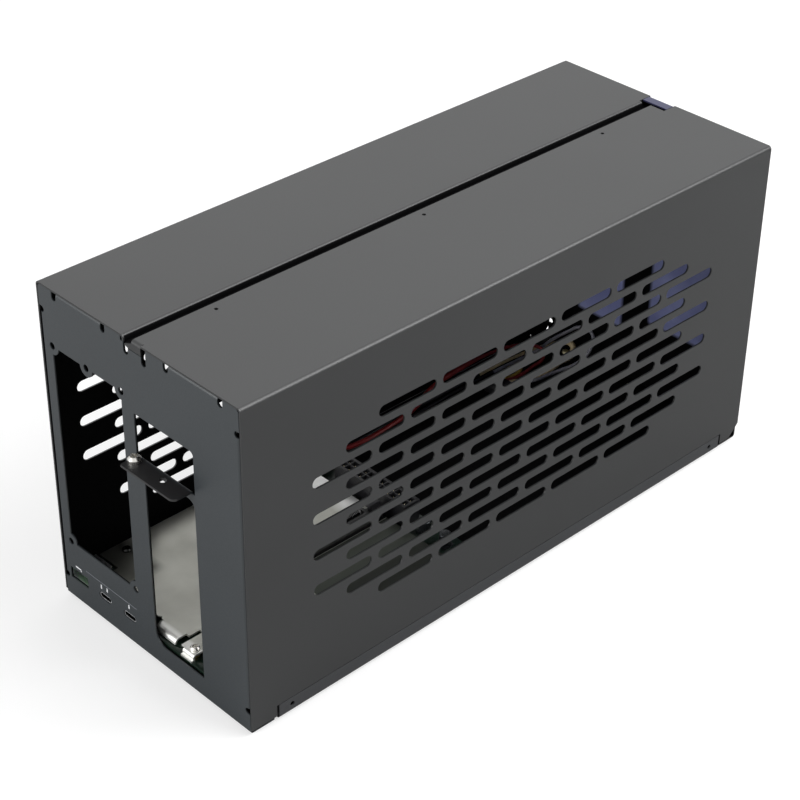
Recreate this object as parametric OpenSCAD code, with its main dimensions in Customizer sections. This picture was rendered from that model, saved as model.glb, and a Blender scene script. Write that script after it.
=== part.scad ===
// Sheet-metal enclosure that carries a graphics card and a small power supply
// outside a computer, with the dock board that both plug into.
// Millimetres, +Z up. The connector face looks towards -Y and the origin is the
// middle of the footprint, on the surface that the feet stand on.

/* [Case] */
// Overall width of the case
case_w = 144; // [142:1:170]
// Length from the connector face to the back face
case_l = 355; // [352:1:420]
// Height of the case above its feet
case_h = 181; // [179:1:220]
// Thickness of the cover sheet
cover_t = 1; // [0.8:0.1:1.2]
// Thickness of the frame sheet
frame_t = 1.2; // [1:0.1:1.4]
// Outer radius of the folds in the covers and the tray
fold_r = 2; // [1.6:0.1:3]
// Outer radius of the folds in the two panels
tab_r = 1.8; // [1.6:0.1:2.4]
// Gap between a cover and the frame beside it
cover_gap = 0.3; // [0.2:0.05:0.5]
// Height of the tray's side flanges
flange_h = 8.5; // [7:0.5:12]
// Height of the rubber feet
foot_h = 1.5; // [1.2:0.1:4]
// Width of the rubber feet
foot_d = 12; // [8:1:14]

/* [Vents] */
// Length of a vent slot
slot_l = 36; // [20:1:37]
// Width of a vent slot
slot_w = 6; // [3:0.5:8]
// Distance from slot to slot along a row
slot_step = 40; // [39:0.5:42]
// Distance from row to row
row_step = 10; // [9:0.5:11]

/* [Supply opening] */
// Distance of the opening's middle from the frame's left side
supply_in = 33.1; // [31.5:0.1:34.5]
// Share of the free height above the connectors that lies below the opening
supply_low_share = 0.3565; // [0.25:0.0005:0.5]
// Distance between the supply's screw holes across the face
supply_pitch_x = 51.5; // [50:0.5:54]
// Distance between the supply's screw holes up the face
supply_pitch_z = 113; // [105:0.5:114]
// Width of the supply's screw holes
supply_hole_d = 3.8; // [3:0.1:4.5]
// Radius of the ears that hold the screw holes
supply_ear_r = 4.6; // [4:0.1:6]

/* [Card opening] */
// Distance from one card bracket to the next
card_pitch = 20.32; // [20:0.04:21]
// Height of the ledge that the brackets are screwed to
ledge_z = 120; // [118:0.5:124]
// How far the ledge stands out of the face
ledge_d = 10.5; // [8:0.5:12]
// Width of the ledge
ledge_w = 38; // [34:0.5:40]
// Width of the opening for the bracket blades
card_w = 36; // [34:0.5:38]
// Width of the bracket screws
bracket_screw_d = 3.4; // [3:0.1:3.5]

/* [Dock] */
// Height of the dock board's top face
board_z = 13.4; // [12.5:0.1:14]
// Thickness of the dock board
board_t = 1.6; // [1.2:0.1:2]
// Length of the dock board behind the card socket
board_rear_l = 28; // [26:0.5:46]
// Height of the shield's top face
shield_z = 17; // [16.6:0.1:18]
// Thickness of the shield
shield_t = 1; // [0.8:0.1:1.2]
// Length of the card socket
socket_l = 89; // [89:0.5:92]
// Width of the card socket
socket_w = 7.5; // [7:0.1:8]
// Height of the card socket
socket_h = 11.25; // [10.5:0.05:12]
// Pin pairs in the long part of the socket
long_pairs = 71; // [40:1:71]
// Pin pairs in the short part of the socket
short_pairs = 11; // [4:1:11]
// Pin columns in the power header
header_columns = 12; // [8:1:12]

/* [Hidden] */
$fn = 48;

// Overrun of every cut
over = 1;

// Levels and half widths that several pieces share
panel_half = case_w / 2 - cover_t - cover_gap;
panel_top = case_h - cover_t;
floor_z = frame_t;

// Seam between the covers along the top
groove_left = -7;
groove_right = -1.5;
groove_h = 3.3;
rail_flange = 10.5;
rail_hole_d = 2;
rail_hole_x = 3.3;
rail_hole_y = [44, 173, 302];

// Tabs of the two panels and the relief notches at their ends
tab_reach = 12;
top_tab_x = 24;
top_tab_end = 13.7;
top_tab_l = panel_half - top_tab_x - top_tab_end;
side_tab_z = 15;
side_tab_top = 14.7;
side_tab_l = panel_top - side_tab_z - side_tab_top;
floor_tab_reach = 14.5;
relief_w = 3.4;
top_relief_h = 4.5;
side_relief_d = 3.2;
centre_notch_w = 3.4;
centre_notch_x = [-5.8, 6.7];
centre_notch_h = [8.2, 9];
tongue_h = 5.2;
tongue_x = 5;
tongue_flare = 4.8;
tongue_slit = 0.4;
tongue_slit_l = 2;

// Rear end of the seam
rear_notch_x = [groove_left - fold_r - cover_gap, 7.7];
rear_notch_l = 9;
rear_tab_reach = 6.5;

// Lower corners of the covers
leg_l = 15.2;
leg_z = 2.5;
leg_gap = 1.3;
leg_chamfer = 7;
seam_gap = 0.4;
cover_hole_y = 24.5;
cover_hole_z = 4.7;
cover_hole_d = 2.6;
cover_tap_d = 2.1;
cover_tab_w = 12;
cover_tab_z = 2.8;
cover_tab_step = 2.5;

// Feet, set in from the tray's sides and from its ends
foot_side = 6;
foot_set = 1.5;
foot_x = panel_half - foot_side - foot_d / 2;
foot_y = leg_l + leg_gap + foot_set + foot_d / 2;

// Laps of the tray over the panels' floor tabs
lap_gap = 0.3;
lap_l = 4;
rivet_y = 8;
rivet_in = 20.7;
rivet_x = [rivet_in - panel_half, 0, panel_half - rivet_in];
rivet_d = 3.2;
rivet_head_d = 6;
rivet_head_h = 0.9;
rivet_tail_d = 4.4;
rivet_tail_h = 1.6;
rivet_gap = 0.05;

// First slots of the two vent fields and the half steps by which each row is set in
// Each field's middle lies a little above the middle of the case's height
right_slot_y = 39;
right_rise = 2.5;
right_slots = 7;
right_inset_share = [2, 1, 0, 1, 0, 1, 0, 1, 0, 1, 2];
left_slot_y = 16.5;
left_rise = 4.5;
left_slots = 8;
left_inset_share = [2, 1, 2, 1, 0, 1, 0, 1, 0, 1, 2, 1, 2];

// Card opening, placed from the middle of the card slot, which is placed from the frame's left side
card_in = 74.95;
card_x = card_in - panel_half;
blade_left = 2.55;
blade_x = card_x - blade_left;
blade_z = 12.4;
blade_drop = 5;
blade_top = ledge_z - blade_drop;
blade_r = [8, 0.6, 4.5, 0.6];
flange_left = 7.45;
flange_x = card_x - flange_left;
flange_w = 41.5;
flange_rise_share = 0.4314;
flange_top = ledge_z + flange_rise_share * (panel_top - max(centre_notch_h) - ledge_z);
flange_r = [0.3, 0.3, 2.5, 0.6];
ledge_left = 6.25;
ledge_x = card_x - ledge_left;
ledge_r = [1, 3, 0.3, 0.3];
ledge_hole_left = 3.75;
ledge_hole_x = card_x - ledge_hole_left;
ledge_hole_out = 4;
screw_gap = 0.1;

// Screw heads
bracket_head_d = 6.6;
bracket_head_h = 2.8;
bracket_screw_l = 5;
head_dome_share = 0.45;
recess_w_share = 0.16;
recess_l_share = 0.6;
recess_h_share = 0.55;

// Connectors in the face
port_recess = 0.3;
usb_a_recess = 1;
port_gap = 0.4;
usb_a_in = 11.7;
usb_a_x = usb_a_in - panel_half;
usb_a_w = 13.2;
usb_a_h = 5.8;
usb_a_l = 14;
usb_a_wall = 0.35;
usb_a_tongue_w = 11;
usb_a_tongue_h = 1.9;
usb_a_tongue_l = 12;
usb_a_tongue_z = 2.9;
usb_c_in = [32.65, 52.1];
usb_c_x = [for (d = usb_c_in) d - panel_half];
usb_c_w = 8.94;
usb_c_h = 3.26;
usb_c_l = 8;
usb_c_wall = 0.3;
usb_c_lift = 0.8;
usb_c_leg = 1.2;
usb_c_tongue_w = 6.7;
usb_c_tongue_h = 0.7;
usb_c_tongue_l = 6;

// Supply opening, between the connectors and the top
port_top = board_z + usb_a_h + port_gap;
supply_low = supply_low_share * (panel_top - port_top - supply_pitch_z);
supply_z = port_top + supply_low + supply_pitch_z / 2;

// Places along the dock, from the socket at the front to the power header behind its latch
socket_y = 45;
latch_well = 9;
header_gap = 5;
header_y = socket_y + socket_l + latch_well + header_gap;
board_l = socket_y + socket_l + board_rear_l;

// Dock board and shield
board_edge = 3;
board_front = 2;
board_half = panel_half - board_edge;
shield_edge = 4;
shield_header_gap = 4;
shield_rear = header_y - shield_header_gap;
shield_front = 4;
shield_fold_r = 3;
shield_step_y = 9.5;
shield_corner_left = 5.25;
shield_corner_x = card_x - shield_corner_left;
shield_corner_r = 6;
shield_end_right = 21.75;
shield_flange_end = card_x + shield_end_right;
shield_port_l = 18;
shield_notch = 1.6;
toe_y = 3;
toe_fold_r = 1.6;
toe_l = 1.2;
toe_side = 2.5;
vent_right = 6.75;
vent_x = card_x + vent_right;
vent_w = 4.5;
vent_l = 7;
vent_tail_w = 2.3;
vent_tail_l = 6.6;
board_screw_d = 2.5;
board_screw_gap = 0.1;
board_head_d = 5;
board_head_h = 1.6;
board_screw_l = 9;
standoff_d = 6;
spacer_d = 5;
front_screw_right = 18.05;
front_screw_y = 7.2;
side_screw_in = 10.7;
side_screw_x = panel_half - side_screw_in;
side_screw_front = 30;
side_screw_rear = 8;
side_screw_y = [side_screw_front, shield_rear - side_screw_rear];

// Card socket
card_slot_w = 1.8;
card_slot_h = 8.2;
socket_end = 1.9;
pair_pitch = 1;
key_w = 1.88;
cavity_w = 0.6;
cavity_d = 1.3;
blade_w = 0.4;
blade_t = 0.35;
blade_h = 6.5;
blade_gap = 0.1;
bar_h = 0.8;
chamfer_d = 0.8;
latch_wall = 1;
latch_w = 3.4;
latch_gap = 0.35;
latch_pin_d = 2;
latch_pin_gap = 0.06;
latch_pin_l = 1;
latch_y = 4.2;
latch_z = 4.4;
latch_body_r = 2.6;
latch_top = 13.2;
latch_arm_t = 2.2;
latch_hook = 2.4;
latch_thumb = 3.2;
latch_thumb_t = 1.6;
latch_ear_h = 7.6;
shield_slot_gap = 1.2;

// Power header
header_left = 12.25;
header_x = card_x - header_left;
header_pitch = 4.2;
header_wall = 1.3;
header_w = header_columns * header_pitch + 2 * header_wall;
header_depth = 2 * header_pitch + 2 * header_wall;
header_h = 12.8;
header_floor = 2.4;
header_cell = 3.5;
header_pin_w = 1.1;
header_pin_h = 8.5;
header_catch_w = 5;
header_catch_t = 1.2;
header_catch_h = 4;

// Parts on the board
cap_d = 6.3;
cap_h = 8;
cap_base_h = 1.2;
cap_back = 5;
cap_y = header_y + cap_back;
cap_place_share = [0.2, 0.5, 0.8];
cap_x = [for (s = cap_place_share) (1 - s) * (header_x + header_w / 2) + s * board_half];
cap_neck = 0.4;
cap_neck_h = 1;
coil_w = 7;
coil_h = 4.2;
coil_corner = 1.2;
coil_in = [11.7, 22.7];
coil_x = [for (d = coil_in) d - panel_half];
coil_y = cap_y;
chip_w = 11;
chip_t = 1.2;
chip_in = 32.7;
chip_y = 60;
chip_at = [chip_in - panel_half, chip_y];

// Leads from the board's rear edge to a loose plug on the floor, and the plugs at their ends
lead_d = 2;
lead_sides = 8;
lead_plug_l = 5;
lead_plug_h = 4.6;
lead_plug_w = 11.5;
lead_plug_x = -58;
lead_plug_rib = 0.8;
loose_plug_l = 12;
loose_plug_h = 5;
loose_plug_at = [-50.25, 296];
loose_latch_w = 4;
loose_latch_l = 8;
route_red = [[-59, 162, 15.6], [-59, 165, 15.6], [-62, 176, 8], [-64.4, 188, 2.4], [-65.5, 226, 2.4],
    [-66.5, 240, 5.2], [-68.6, 254, 9.6], [-69, 278, 12.5], [-69, 299, 13], [-66.5, 318, 12],
    [-61.5, 330, 9.5], [-57, 334, 7], [-53.4, 331, 4], [-52.8, 322, 2.4], [-51.8, 314, 2.4],
    [-51.5, 306, 2.4], [-51.5, 299, 3.7], [-51.5, 296, 3.7]];
route_yellow = [[-54, 162, 15.6], [-54, 165, 15.6], [-56, 176, 8], [-59, 188, 2.4], [-60, 226, 2.4],
    [-61.5, 262, 2.4], [-61.5, 300, 2.4], [-61.5, 308, 2.4], [-60.5, 313, 2.4], [-57.8, 315.5, 2.4],
    [-55, 313, 2.4], [-54, 308, 2.4], [-54, 304, 2.6], [-54, 299, 3.7], [-54, 296, 3.7]];
route_tan = [[-61.5, 162, 15.6], [-61.5, 165, 15.6], [-65, 176, 8], [-67.4, 188, 2.4], [-68.2, 226, 2.4],
    [-68.2, 262, 2.4], [-68, 300, 2.4], [-67, 322, 2.6], [-63.5, 336, 3.8], [-57, 344.5, 6],
    [-47.5, 349, 8], [-43, 344, 4.6], [-43.3, 335, 3.6], [-43.1, 325, 2.4], [-44.5, 314, 2.4],
    [-47.6, 306, 2.4], [-49, 299, 3.7], [-49, 296, 3.7]];
route_grey = [[-56.5, 162, 15.6], [-56.5, 165, 15.6], [-59, 176, 8], [-61.8, 188, 2.4], [-62.8, 226, 2.4],
    [-64.6, 262, 2.4], [-64.6, 300, 2.4], [-63.6, 318, 2.6], [-60.5, 332, 5], [-57, 344, 10.5],
    [-52, 351, 15], [-45, 352, 20.5], [-38, 352, 22], [-31.5, 349.5, 19], [-30.5, 344, 12],
    [-34, 338, 6], [-38.5, 331, 3], [-40.3, 324, 2.4], [-42, 312, 2.4], [-45.2, 305, 2.4],
    [-46.5, 299, 3.7], [-46.5, 296, 3.7]];

// Moves the case's own axes, which start at the face's lower edge, to the origin
module place() {
    translate([0, (ledge_d - case_l) / 2, foot_h]) children();
}

// Stands an outline drawn in X and Z upright, from y0 towards +Y
module upright_xz(y0, depth) {
    translate([0, y0 + depth, 0]) rotate([90, 0, 0]) linear_extrude(depth) children();
}

// Stands an outline drawn in Y and Z upright, from x0 towards +X
module upright_yz(x0, depth) {
    translate([x0, 0, 0]) rotate([90, 0, 90]) linear_extrude(depth) children();
}

// Section of a quarter fold, centred on the fold's axis
module fold_2d(outer_r, t) {
    intersection() {
        difference() {
            circle(outer_r);
            circle(outer_r - t);
        }
        square(outer_r);
    }
}

// What a rounded corner leaves of a square one
module corner_2d(r) {
    difference() {
        square(r);
        translate([r, r]) circle(r);
    }
}

// Rectangle from the origin whose corners are rounded anticlockwise from the lower left
module window_2d(w, h, r) {
    difference() {
        square([w, h]);
        corner_2d(r[0]);
        translate([w, 0]) mirror([1, 0]) corner_2d(r[1]);
        translate([w, h]) rotate(180) corner_2d(r[2]);
        translate([0, h]) mirror([0, 1]) corner_2d(r[3]);
    }
}

// Slot with round ends, from its left end along X
module slot_2d(l, w) {
    translate([w / 2, -w / 2]) square([l - w, w]);
    for (x = [w / 2, l - w / 2]) translate([x, 0]) circle(d = w);
}

// Relief notch with a round root, open towards +Y and centred on X
module relief_2d(w, h) {
    translate([-w / 2, -h + w / 2]) square([w, h - w / 2 + over]);
    translate([0, -h + w / 2]) circle(d = w);
}

// Tab folded back from the top edge of an upright sheet, along X from the origin
module folded_tab(len, reach) {
    upright_yz(0, len) {
        translate([tab_r, -tab_r]) mirror([1, 0]) fold_2d(tab_r, frame_t);
        translate([tab_r, -frame_t]) square([reach - tab_r, frame_t]);
    }
}

// Pan head with a cross recess, its seat at the origin, and the shank below it
module pan_screw(head_d, head_h, shank_d, shank_l) {
    dome = head_h * head_dome_share;
    difference() {
        union() {
            cylinder(d = head_d, h = head_h - dome);
            translate([0, 0, head_h - dome]) cylinder(d1 = head_d, d2 = head_d - 2 * dome, h = dome);
            translate([0, 0, -shank_l]) cylinder(d = shank_d, h = shank_l);
        }
        for (a = [0, 90])
            rotate(a)
                translate([-head_d * recess_l_share / 2, -head_d * recess_w_share / 2,
                    head_h * (1 - recess_h_share)])
                    cube([head_d * recess_l_share, head_d * recess_w_share, head_h]);
    }
}

// Flat part of a panel, without the strips that its folds take up
module panel_2d() {
    difference() {
        translate([-panel_half, tab_r]) square([2 * panel_half, panel_top - tab_r]);
        for (side = [0, 1])
            mirror([side, 0]) {
                translate([panel_half, panel_top]) rotate(180) corner_2d(fold_r);
                translate([panel_half - tab_r, side_tab_z]) square([tab_r + over, side_tab_l]);
                translate([top_tab_x, panel_top - tab_r]) square([top_tab_l, tab_r + over]);
                for (x = [top_tab_x - relief_w / 2, top_tab_x + top_tab_l + relief_w / 2])
                    translate([x, panel_top]) relief_2d(relief_w, top_relief_h);
                for (z = [side_tab_z - relief_w / 2, side_tab_z + side_tab_l + relief_w / 2])
                    translate([panel_half, z]) rotate(-90) relief_2d(relief_w, side_relief_d);
            }
    }
}

// Tabs that stiffen a panel's four edges
module panel_tabs() {
    for (side = [0, 1])
        mirror([side, 0, 0]) {
            translate([top_tab_x, 0, panel_top]) folded_tab(top_tab_l, tab_reach);
            translate([panel_half, 0, side_tab_z + side_tab_l]) rotate([0, 90, 0])
                folded_tab(side_tab_l, tab_reach);
        }
    translate([-panel_half, 0, 0]) mirror([0, 0, 1]) folded_tab(2 * panel_half, floor_tab_reach);
}

// Places of the rivets that hold the tray to the panels
module at_rivets() {
    for (x = rivet_x)
        for (y = [rivet_y, case_l - rivet_y])
            translate([x, y, 0]) children();
}

// Supply opening: a window whose edges bulge inwards round the screw holes
module supply_2d() {
    holes = [[-1, -1], [1, -1], [-1, 1], [1, 1], [0, 1]];
    translate([supply_in - panel_half, supply_z]) {
        difference() {
            square([supply_pitch_x, supply_pitch_z], center = true);
            for (h = holes)
                translate([h[0] * supply_pitch_x / 2, h[1] * supply_pitch_z / 2]) circle(supply_ear_r);
        }
        for (h = holes)
            translate([h[0] * supply_pitch_x / 2, h[1] * supply_pitch_z / 2]) circle(d = supply_hole_d);
    }
}

// Openings for the bracket blades, below the ledge, and for their flanges, above it
module card_2d() {
    translate([blade_x, blade_z]) window_2d(card_w, blade_top - blade_z, blade_r);
    translate([flange_x, ledge_z - frame_t])
        window_2d(flange_w, flange_top - ledge_z + frame_t, flange_r);
}

// Openings round the connectors
module ports_2d() {
    translate([usb_a_x - usb_a_w / 2 - port_gap, board_z - port_gap])
        square([usb_a_w + 2 * port_gap, usb_a_h + 2 * port_gap]);
    for (x = usb_c_x)
        translate([x - usb_c_w / 2 - port_gap, board_z + usb_c_lift + usb_c_h / 2])
            slot_2d(usb_c_w + 2 * port_gap, usb_c_h + 2 * port_gap);
}

// Notches beside the covers' seam, and the recesses for the left cover's lip and the right one's tongue
module seam_notches_2d() {
    lip_end = groove_left - fold_r - cover_gap;
    for (i = [0, 1])
        translate([centre_notch_x[i], panel_top]) relief_2d(centre_notch_w, centre_notch_h[i]);
    translate([centre_notch_x[0], case_h - tongue_h - cover_gap])
        square([centre_notch_x[1] - centre_notch_x[0], tongue_h + over]);
    translate([lip_end, case_h - groove_h]) square([centre_notch_x[0] - lip_end, groove_h]);
}

// Ledge folded outwards from the web between the two card openings
module ledge() {
    reach = ledge_d - tab_r + frame_t;
    intersection() {
        translate([ledge_x, 0, ledge_z])
            upright_yz(0, ledge_w) {
                translate([frame_t - tab_r, -tab_r]) fold_2d(tab_r, frame_t);
                translate([-ledge_d, -frame_t]) square([reach, frame_t]);
            }
        translate([ledge_x, -ledge_d, 0])
            linear_extrude(case_h)
                window_2d(ledge_w, ledge_d + frame_t + over, ledge_r);
    }
}

module io_panel() {
    color("#4c5053") place()
        difference() {
            union() {
                upright_xz(0, frame_t)
                    difference() {
                        panel_2d();
                        supply_2d();
                        card_2d();
                        ports_2d();
                        seam_notches_2d();
                    }
                panel_tabs();
                ledge();
            }
            for (i = [0, 1])
                translate([ledge_hole_x + i * card_pitch, -ledge_hole_out, ledge_z - frame_t - over])
                    cylinder(d = bracket_screw_d + 2 * screw_gap, h = frame_t + 2 * over);
            at_rivets() translate([0, 0, -over]) cylinder(d = rivet_d + 2 * rivet_gap, h = frame_t + 2 * over);
        }
}

module back_panel() {
    tab_w = rear_notch_x[1] - rear_notch_x[0] - 2 * cover_gap;
    color("#40434a") place()
        difference() {
            translate([0, case_l, 0]) mirror([0, 1, 0]) {
                upright_xz(0, frame_t)
                    difference() {
                        panel_2d();
                        translate([rear_notch_x[0] + cover_gap, case_h - tab_r]) square([tab_w, tab_r]);
                    }
                panel_tabs();
                translate([rear_notch_x[0] + cover_gap, 0, case_h]) folded_tab(tab_w, rear_tab_reach);
            }
            at_rivets() translate([0, 0, -over]) cylinder(d = rivet_d + 2 * rivet_gap, h = frame_t + 2 * over);
        }
}

// Outline of a tray flange, seen from the side
module flange_2d() {
    difference() {
        translate([leg_l + leg_gap, -over])
            square([case_l - 2 * (leg_l + leg_gap), flange_h + over]);
        for (y = [cover_hole_y, case_l - cover_hole_y])
            translate([y, cover_hole_z]) circle(d = cover_hole_d);
    }
}

module base_tray() {
    lap_half = panel_half - fold_r;
    lap_end = leg_l + leg_gap + lap_l;
    color("#45484b") place()
        difference() {
            union() {
                intersection() {
                    upright_xz(0, case_l)
                        for (side = [0, 1])
                            mirror([side, 0]) {
                                translate([-over, 0]) square([case_w / 2 - fold_r + over, frame_t]);
                                translate([case_w / 2 - fold_r, fold_r]) mirror([0, 1])
                                    fold_2d(fold_r, frame_t);
                                translate([case_w / 2 - frame_t, fold_r])
                                    square([frame_t, flange_h - fold_r]);
                            }
                    upright_yz(-case_w, 2 * case_w) flange_2d();
                }
                for (y = [tab_r + lap_gap, case_l - lap_end])
                    translate([-lap_half, y, floor_z])
                        cube([2 * lap_half, lap_end - tab_r - lap_gap, frame_t]);
            }
            at_rivets() translate([0, 0, -over])
                cylinder(d = rivet_d + 2 * rivet_gap, h = 2 * frame_t + 2 * over);
        }
}

// Blind rivets, their heads below the panels' tabs and their tails above the laps
module floor_rivets() {
    color("#303234") place()
        at_rivets() {
            translate([0, 0, -rivet_head_h]) cylinder(d1 = rivet_head_d - rivet_head_h,
                d2 = rivet_head_d, h = rivet_head_h);
            cylinder(d = rivet_d, h = 2 * frame_t);
            translate([0, 0, 2 * frame_t]) cylinder(d1 = rivet_tail_d, d2 = rivet_d, h = rivet_tail_h);
        }
}

// Side of a cover seen from the right, with the legs that reach down past the tray
module cover_side_2d() {
    side_z = flange_h + seam_gap;
    rear = case_l - leg_l;
    polygon([[0, leg_z], [leg_l, leg_z], [leg_l, side_z], [rear, side_z], [rear, leg_z],
        [case_l - leg_chamfer, leg_z], [case_l, leg_z + leg_chamfer], [case_l, case_h + over],
        [0, case_h + over]]);
}

// Field of slots; each row is set in from its ends by half steps
module vents_2d(y0, rise, slots, insets) {
    z0 = case_h / 2 + rise - (len(insets) - 1) / 2 * row_step;
    for (row = [0 : len(insets) - 1])
        for (i = [0 : slots - insets[row] - 1])
            translate([y0 + (i + insets[row] / 2) * slot_step, z0 + row * row_step])
                slot_2d(slot_l, slot_w);
}

// Ear inside the cover, behind the tray's flange, with the tapped hole of a cover screw
module cover_ear(y) {
    outer = case_w / 2 - frame_t - cover_gap;
    step_z = flange_h + seam_gap;
    difference() {
        union() {
            translate([outer - cover_t, y - cover_tab_w / 2, cover_tab_z])
                cube([cover_t, cover_tab_w, step_z + cover_tab_step - cover_tab_z]);
            translate([outer - cover_t, y - cover_tab_w / 2, step_z])
                cube([case_w / 2 - cover_t / 2 - outer + cover_t, cover_tab_w, cover_tab_step]);
        }
        translate([outer - cover_t - over, y, cover_hole_z]) rotate([0, 90, 0])
            cylinder(d = cover_tap_d, h = cover_t + 2 * over);
    }
}

// Side and top of the right-hand cover, up to the top's free edge
module cover_2d(edge_x) {
    translate([case_w / 2 - cover_t, 0]) square([cover_t, case_h - fold_r]);
    translate([case_w / 2 - fold_r, case_h - fold_r]) fold_2d(fold_r, cover_t);
    translate([edge_x, case_h - cover_t]) square([case_w / 2 - fold_r - edge_x, cover_t]);
}

module left_cover() {
    lip_x = -groove_left;
    color("#46484a") place()
        mirror([1, 0, 0])
            difference() {
                union() {
                    intersection() {
                        upright_xz(0, case_l) {
                            cover_2d(lip_x + fold_r);
                            translate([lip_x + fold_r, case_h - fold_r]) mirror([1, 0])
                                fold_2d(fold_r, cover_t);
                            translate([lip_x, case_h - groove_h + cover_gap])
                                square([cover_t, groove_h - cover_gap - fold_r]);
                        }
                        upright_yz(0, case_w) cover_side_2d();
                    }
                    for (y = [cover_hole_y, case_l - cover_hole_y]) cover_ear(y);
                }
                upright_yz(case_w / 2 - cover_t - over, cover_t + 2 * over)
                    vents_2d(left_slot_y, left_rise, left_slots, left_inset_share);
                translate([lip_x - over, case_l - rear_notch_l, case_h - 2 * fold_r - over])
                    cube([-rear_notch_x[0] - lip_x + over, rear_notch_l + over, 2 * fold_r + 2 * over]);
            }
}

// Tongue at the front of the right cover, folded down into the face beside the seam
module tongue() {
    top = case_h - fold_r;
    low = case_h - tongue_h;
    translate([groove_right, 0, 0])
        upright_yz(0, tongue_x - groove_right)
            translate([fold_r, top]) mirror([1, 0]) fold_2d(fold_r, cover_t);
    upright_xz(0, cover_t)
        polygon([[groove_right, top], [groove_right - tongue_flare, low + tongue_flare / 3],
            [groove_right - tongue_flare, low + tongue_flare / 6], [groove_right - tongue_flare / 2, low],
            [tongue_x, low], [tongue_x, top]]);
}

module right_cover() {
    color("#46484a") place()
        difference() {
            union() {
                difference() {
                    intersection() {
                        upright_xz(0, case_l) cover_2d(groove_right);
                        upright_yz(-case_w, 2 * case_w) cover_side_2d();
                    }
                    translate([groove_right - over, -over, case_h - cover_t - over])
                        cube([tongue_x - groove_right + over, fold_r + over, cover_t + 2 * over]);
                    translate([tongue_x - over, -over, case_h - cover_t - over])
                        cube([tongue_slit + over, tongue_slit_l + over, cover_t + 2 * over]);
                }
                tongue();
                for (y = [cover_hole_y, case_l - cover_hole_y]) cover_ear(y);
            }
            upright_yz(case_w / 2 - cover_t - over, cover_t + 2 * over)
                vents_2d(right_slot_y, right_rise, right_slots, right_inset_share);
            for (y = rail_hole_y)
                translate([rail_hole_x, y, case_h - cover_t - over])
                    cylinder(d = rail_hole_d, h = cover_t + 2 * over);
            translate([groove_right - over, case_l - rear_notch_l, case_h - cover_t - over])
                cube([rear_notch_x[1] - groove_right + over, rear_notch_l + over, cover_t + 2 * over]);
        }
}

// Channel below the seam; both covers rest on its flanges
module centre_rail() {
    web_left = groove_left - cover_t - cover_gap;
    web_right = groove_right;
    floor_top = case_h - groove_h;
    web_h = panel_top - tab_r - floor_top + frame_t;
    color("#2c2e30") place()
        difference() {
            upright_xz(frame_t, case_l - 2 * frame_t) {
                translate([web_left - frame_t, floor_top - frame_t])
                    square([web_right + frame_t - web_left + frame_t, frame_t]);
                translate([web_left - frame_t, floor_top - frame_t]) square([frame_t, web_h]);
                translate([web_right, floor_top - frame_t]) square([frame_t, web_h]);
                translate([web_left - tab_r, panel_top - tab_r]) fold_2d(tab_r, frame_t);
                translate([web_right + tab_r, panel_top - tab_r]) mirror([1, 0]) fold_2d(tab_r, frame_t);
                translate([web_left - rail_flange, panel_top - frame_t])
                    square([rail_flange - tab_r, frame_t]);
                translate([web_right + tab_r, panel_top - frame_t])
                    square([rail_flange - tab_r + frame_t, frame_t]);
            }
            for (y = rail_hole_y)
                translate([rail_hole_x, y, panel_top - frame_t - over])
                    cylinder(d = rail_hole_d, h = frame_t + 2 * over);
            translate([web_right, 0, panel_top - tab_r])
                cube([tongue_x + cover_gap - web_right, fold_r + cover_gap, tab_r + over]);
            translate([web_left - rail_flange - over, case_l - rear_notch_l, panel_top - frame_t])
                cube([web_right - web_left + 2 * rail_flange + frame_t + 2 * over,
                    rear_notch_l + over, frame_t + over]);
        }
}

module feet() {
    color("#1b1b1c") place()
        for (x = [-1, 1])
            for (y = [foot_y, case_l - foot_y])
                translate([x * foot_x, y, -foot_h]) {
                    cylinder(d1 = foot_d - foot_h, d2 = foot_d, h = foot_h / 2);
                    translate([0, 0, foot_h / 2]) cylinder(d = foot_d, h = foot_h / 2);
                }
}

module bracket_screw() {
    color("#b8b8b4") place()
        translate([ledge_hole_x, -ledge_hole_out, ledge_z])
            pan_screw(bracket_head_d, bracket_head_h, bracket_screw_d, bracket_screw_l);
}

// Places of the screws that hold the shield and the board to the tray
module at_dock_screws() {
    translate([card_x + front_screw_right, front_screw_y]) children();
    for (x = [-side_screw_x, side_screw_x])
        for (y = side_screw_y)
            translate([x, y]) children();
}

module dock_board() {
    color("#1c2a22") place()
        translate([0, 0, board_z - board_t])
            linear_extrude(board_t)
                difference() {
                    translate([-board_half, board_front]) square([2 * board_half, board_l - board_front]);
                    at_dock_screws() circle(d = board_screw_d + 2 * board_screw_gap);
                }
}

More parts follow.
